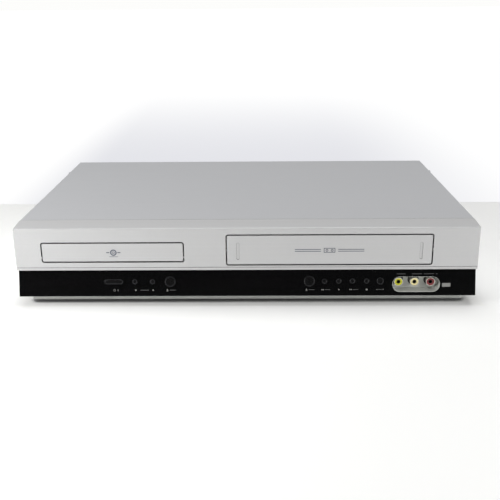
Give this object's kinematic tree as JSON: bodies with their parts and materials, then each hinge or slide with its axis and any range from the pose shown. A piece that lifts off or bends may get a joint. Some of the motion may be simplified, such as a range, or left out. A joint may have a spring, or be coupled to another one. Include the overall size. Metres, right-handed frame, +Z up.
{
  "type": "dvd vcr combo player",
  "caption": "Slim player with a disc tray on the left, a cassette slot on the right and a black button band with front sockets; both drives, boards and rear sockets inside.",
  "frame": {"origin": "middle of the outline, on the surface that the feet stand on", "axes": "+X to the right as the user faces the front, +Y to the back, +Z up"},
  "size_m": [0.4348, 0.2742, 0.0785],
  "materials": {
    "cover_paint": "satin silver-grey paint",
    "zinc_steel": "bright zinc",
    "silver_plastic": "silver metallic paint",
    "black_gloss": "gloss",
    "pocket_grey": "matte",
    "foot_rubber": "matte",
    "screw_steel": "satin",
    "board_laminate": "matte",
    "black_plastic": "matte",
    "display_glass": "gloss",
    "socket_metal": "nickel plate",
    "socket_yellow": "gloss",
    "socket_white": "gloss",
    "socket_red": "gloss",
    "tray_plastic": "matte",
    "drive_plastic": "matte",
    "polished_steel": "polished",
    "motor_steel": "satin",
    "gear_plastic": "matte",
    "belt_rubber": "matte",
    "drum_alloy": "turned"
  },
  "bodies": {
    "chassis": {"top_cover": "cover_paint", "base_pan": "zinc_steel", "rear_panel": "zinc_steel", "front_fascia": "silver_plastic", "control_band": "black_gloss", "jack_pocket": "pocket_grey", "feet": "foot_rubber", "case_screws": "screw_steel", "chassis_screws": "screw_steel", "front_board": "board_laminate", "tact_switches": "black_plastic", "display_module": "display_glass", "jack_shells": "socket_metal", "jack_blocks": "black_plastic", "yellow_jack_inserts": "socket_yellow", "white_jack_inserts": "socket_white", "red_jack_inserts": "socket_red", "disc_drive_frame": "drive_plastic", "clamp_bridge": "drive_plastic", "tray_belt": "belt_rubber", "loading_motor": "motor_steel", "door_spring": "polished_steel", "deck_chassis": "zinc_steel", "drum_base": "drum_alloy", "power_board": "board_laminate", "main_board": "board_laminate", "tuner_module": "motor_steel", "ac_inlet": "black_plastic"},
    "tray": {"disc_tray": "tray_plastic", "tray_front": "silver_plastic"},
    "drive_gear": {"tray_drive_gear": "gear_plastic"},
    "loading_pulley": {"loading_pulley": "gear_plastic"},
    "motor_pulley": {"motor_pulley": "gear_plastic"},
    "traverse": {"traverse_plate": "zinc_steel", "guide_rods": "polished_steel", "spindle_motor": "motor_steel", "sled_motor": "motor_steel"},
    "turntable": {"turntable": "black_plastic"},
    "clamp": {"disc_clamp": "tray_plastic"},
    "pickup": {"optical_pickup": "black_plastic"},
    "lead_screw": {"lead_screw": "gear_plastic"},
    "cassette_door": {"cassette_door": "silver_plastic"},
    "carriage": {"carriage_slider": "zinc_steel"},
    "holder": {"cassette_holder": "zinc_steel"},
    "head_drum": {"head_drum": "drum_alloy"},
    "capstan": {"capstan": "polished_steel"},
    "pinch_arm": {"pinch_arm": "zinc_steel"},
    "pinch_roller": {"pinch_roller": "belt_rubber"},
    "supply_reel": {"supply_reel": "gear_plastic"},
    "takeup_reel": {"takeup_reel": "gear_plastic"},
    "power_button": {"power_button": "black_gloss"},
    "program_down_button": {"program_down_button": "black_gloss"},
    "program_up_button": {"program_up_button": "black_gloss"},
    "disc_eject_button": {"disc_eject_button": "black_gloss"},
    "cassette_eject_button": {"cassette_eject_button": "black_gloss"},
    "rewind_button": {"rewind_button": "black_gloss"},
    "play_button": {"play_button": "black_gloss"},
    "fast_forward_button": {"fast_forward_button": "black_gloss"},
    "record_button": {"record_button": "black_gloss"},
    "source_button": {"source_button": "black_gloss"}
  },
  "joints": [
    {"name": "tray_slide", "type": "slide", "parent": "chassis", "child": "tray", "axis": [0, -1, 0], "range_m": [0, 0.135]},
    {"name": "drive_gear_spin", "type": "hinge", "parent": "chassis", "child": "drive_gear", "pos_m": [-0.084, -0.10391, 0.045], "axis": [0, 0, 1], "range_deg": [-650, 5]},
    {"name": "loading_pulley_spin", "type": "hinge", "parent": "chassis", "child": "loading_pulley", "pos_m": [-0.102, -0.10391, 0.04], "axis": [0, 0, 1], "range_deg": [-5, 1295]},
    {"name": "motor_pulley_spin", "type": "hinge", "parent": "chassis", "child": "motor_pulley", "pos_m": [-0.14, -0.10391, 0.038], "axis": [0, 0, 1], "range_deg": [-5, 5165]},
    {"name": "traverse_tilt", "type": "hinge", "parent": "chassis", "child": "traverse", "pos_m": [-0.124, 0.03909, 0.03675], "axis": [1, 0, 0], "range_deg": [0, 3.5]},
    {"name": "turntable_spin", "type": "hinge", "parent": "traverse", "child": "turntable", "pos_m": [-0.124, -0.06091, 0.052], "axis": [0, 0, 1], "continuous": true},
    {"name": "clamp_spin", "type": "hinge", "parent": "chassis", "child": "clamp", "pos_m": [-0.124, -0.06091, 0.058], "axis": [0, 0, 1], "continuous": true},
    {"name": "pickup_slide", "type": "slide", "parent": "traverse", "child": "pickup", "axis": [0, 1, 0], "range_m": [0, 0.036]},
    {"name": "lead_screw_spin", "type": "hinge", "parent": "traverse", "child": "lead_screw", "pos_m": [-0.096, -0.01591, 0.041], "axis": [0, 1, 0], "range_deg": [-5, 4330]},
    {"name": "cassette_door_hinge", "type": "hinge", "parent": "chassis", "child": "cassette_door", "pos_m": [0.07705, -0.13271, 0.06822], "axis": [1, 0, 0], "range_deg": [0, 86], "stiffness_Nm_per_rad": 0.004, "springref_deg": -34.38, "deforming": ["door_spring"]},
    {"name": "carriage_slide", "type": "slide", "parent": "chassis", "child": "carriage", "axis": [0, 1, 0], "range_m": [0, 0.04]},
    {"name": "holder_drop", "type": "slide", "parent": "carriage", "child": "holder", "axis": [0, 0, -1], "range_m": [0, 0.016]},
    {"name": "head_drum_spin", "type": "hinge", "parent": "chassis", "child": "head_drum", "pos_m": [0.07949, 0.07809, 0.04749], "axis": [0.0872, 0, 0.9962], "continuous": true},
    {"name": "capstan_spin", "type": "hinge", "parent": "chassis", "child": "capstan", "pos_m": [0.12905, 0.05409, 0.02], "axis": [0, 0, 1], "continuous": true},
    {"name": "pinch_arm_swing", "type": "hinge", "parent": "chassis", "child": "pinch_arm", "pos_m": [0.14705, 0.06809, 0.025], "axis": [0, 0, 1], "range_deg": [-25, 0]},
    {"name": "pinch_roller_spin", "type": "hinge", "parent": "pinch_arm", "child": "pinch_roller", "pos_m": [0.13992, 0.0407, 0.033], "axis": [0, 0, 1], "continuous": true},
    {"name": "supply_reel_spin", "type": "hinge", "parent": "chassis", "child": "supply_reel", "pos_m": [0.03105, -0.01391, 0.025], "axis": [0, 0, 1], "continuous": true},
    {"name": "takeup_reel_spin", "type": "hinge", "parent": "chassis", "child": "takeup_reel", "pos_m": [0.12305, -0.01391, 0.025], "axis": [0, 0, 1], "continuous": true},
    {"name": "power_press", "type": "slide", "parent": "chassis", "child": "power_button", "axis": [0, 0.9628, -0.2703], "range_m": [0, 0.0008], "stiffness_N_per_m": 400},
    {"name": "program_down_press", "type": "slide", "parent": "chassis", "child": "program_down_button", "axis": [0, 0.9628, -0.2703], "range_m": [0, 0.0008], "stiffness_N_per_m": 400},
    {"name": "program_up_press", "type": "slide", "parent": "chassis", "child": "program_up_button", "axis": [0, 0.9628, -0.2703], "range_m": [0, 0.0008], "stiffness_N_per_m": 400},
    {"name": "disc_eject_press", "type": "slide", "parent": "chassis", "child": "disc_eject_button", "axis": [0, 0.9628, -0.2703], "range_m": [0, 0.0008], "stiffness_N_per_m": 400},
    {"name": "cassette_eject_press", "type": "slide", "parent": "chassis", "child": "cassette_eject_button", "axis": [0, 0.9628, -0.2703], "range_m": [0, 0.0008], "stiffness_N_per_m": 400},
    {"name": "rewind_press", "type": "slide", "parent": "chassis", "child": "rewind_button", "axis": [0, 0.9628, -0.2703], "range_m": [0, 0.0008], "stiffness_N_per_m": 400},
    {"name": "play_press", "type": "slide", "parent": "chassis", "child": "play_button", "axis": [0, 0.9628, -0.2703], "range_m": [0, 0.0008], "stiffness_N_per_m": 400},
    {"name": "fast_forward_press", "type": "slide", "parent": "chassis", "child": "fast_forward_button", "axis": [0, 0.9628, -0.2703], "range_m": [0, 0.0008], "stiffness_N_per_m": 400},
    {"name": "record_press", "type": "slide", "parent": "chassis", "child": "record_button", "axis": [0, 0.9628, -0.2703], "range_m": [0, 0.0008], "stiffness_N_per_m": 400},
    {"name": "source_press", "type": "slide", "parent": "chassis", "child": "source_button", "axis": [0, 0.9628, -0.2703], "range_m": [0, 0.0008], "stiffness_N_per_m": 400}
  ],
  "couplings": [
    {"joint": "drive_gear_spin", "follows": "tray_slide", "rad_per_m": -83.333},
    {"joint": "loading_pulley_spin", "follows": "tray_slide", "rad_per_m": 166.67},
    {"joint": "motor_pulley_spin", "follows": "tray_slide", "rad_per_m": 666.67},
    {"joint": "clamp_spin", "follows": "turntable_spin", "ratio": 1},
    {"joint": "lead_screw_spin", "follows": "pickup_slide", "rad_per_m": 2094.4}
  ]
}
